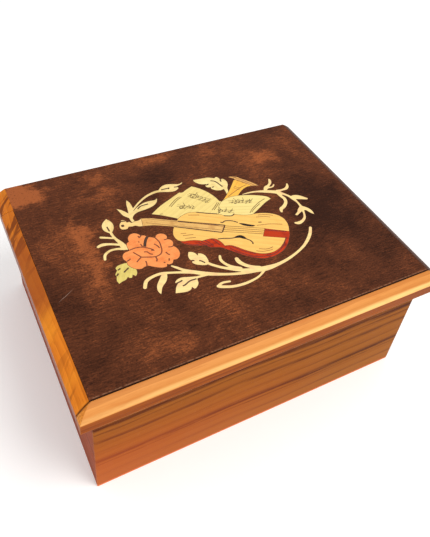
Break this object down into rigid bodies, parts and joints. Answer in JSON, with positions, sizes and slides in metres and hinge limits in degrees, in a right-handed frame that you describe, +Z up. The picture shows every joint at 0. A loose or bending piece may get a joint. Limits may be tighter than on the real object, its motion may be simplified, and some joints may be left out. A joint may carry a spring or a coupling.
{
  "type": "puzzle box",
  "caption": "Inlaid wooden puzzle box: hinged lid with bevelled mouldings, a sliding front moulding over a hidden lock, and a key drawer behind the side moulding.",
  "frame": {"origin": "bottom centre of the closed box, on the surface it stands on", "axes": "+X to the right along the front of the lid, +Y from the front to the hinges, +Z up"},
  "size_m": [0.152, 0.116, 0.061],
  "materials": {
    "carcass_wood": "planed",
    "bottom_wood": "planed",
    "front_veneer_wood": "polished",
    "side_veneer_wood": "polished",
    "lining_cloth": "felt",
    "brass": "satin",
    "steel": "satin",
    "lid_wood": "planed",
    "edging_wood": "polished",
    "side_moulding_wood": "polished",
    "front_moulding_wood": "polished",
    "rail_wood": "waxed",
    "drawer_wood": "planed",
    "key_metal": "worn",
    "panel_burl": "polished",
    "inlay_maple": "polished",
    "inlay_table_wood": "polished",
    "inlay_red": "polished",
    "inlay_tan": "polished",
    "inlay_page_wood": "polished",
    "inlay_black": "polished",
    "inlay_gold": "polished",
    "inlay_rose_wood": "polished",
    "inlay_green_wood": "polished"
  },
  "bodies": {
    "box": {"front_wall": "carcass_wood", "back_wall": "carcass_wood", "left_wall": "carcass_wood", "right_wall": "carcass_wood", "bottom_board": "bottom_wood", "front_veneer": "front_veneer_wood", "back_veneer": "front_veneer_wood", "left_veneer": "side_veneer_wood", "right_veneer": "side_veneer_wood", "floor_lining": "lining_cloth", "strike_plate": "brass", "strike_screws": "brass", "left_hinge_wall_leaf": "brass", "right_hinge_wall_leaf": "brass", "left_hinge_pin": "steel", "right_hinge_pin": "steel", "hinge_wall_screws": "brass"},
    "lid": {"lid_core": "lid_wood", "lid_backing": "lid_wood", "lid_back_edging": "edging_wood", "right_moulding": "edging_wood", "left_moulding_block": "side_moulding_wood", "front_rail": "rail_wood", "left_hinge_lid_leaf": "brass", "right_hinge_lid_leaf": "brass", "hinge_lid_screws": "brass", "lock_case": "brass", "lock_cover": "brass", "lock_post": "steel", "lock_spring": "steel", "lock_screws": "brass", "keyhole_plate": "brass", "top_veneer": "panel_burl", "inlay_violin_table": "inlay_table_wood", "inlay_violin_rib": "inlay_red", "inlay_fingerboard": "inlay_tan", "inlay_tailpiece": "inlay_red", "inlay_scroll": "inlay_maple", "inlay_sound_holes": "inlay_black", "inlay_left_page": "inlay_page_wood", "inlay_right_page": "inlay_page_wood", "inlay_horn": "inlay_gold", "inlay_horn_rim": "inlay_tan", "inlay_rose": "inlay_rose_wood", "inlay_green_leaf": "inlay_green_wood", "inlay_left_sprig": "inlay_maple", "inlay_upper_leaves": "inlay_maple", "inlay_top_leaf": "inlay_maple", "inlay_right_spray": "inlay_maple", "inlay_lower_spray": "inlay_maple"},
    "lock_bolt": {"lock_bolt": "brass"},
    "front_moulding": {"front_moulding": "front_moulding_wood"},
    "key_drawer": {"side_moulding": "side_moulding_wood", "drawer_tray": "drawer_wood", "key": "key_metal"}
  },
  "joints": [
    {"name": "lid_hinge", "type": "hinge", "parent": "box", "child": "lid", "pos_m": [0, 0.0564, 0.0526], "axis": [-1, 0, 0], "range_deg": [0, 98]},
    {"name": "front_moulding_slide", "type": "slide", "parent": "lid", "child": "front_moulding", "axis": [1, 0, 0], "range_m": [0, 0.082]},
    {"name": "key_drawer_slide", "type": "slide", "parent": "lid", "child": "key_drawer", "axis": [-1, 0, 0], "range_m": [0, 0.03]},
    {"name": "lock_bolt_slide", "type": "slide", "parent": "lid", "child": "lock_bolt", "axis": [1, 0, 0], "range_m": [0, 0.004]}
  ]
}
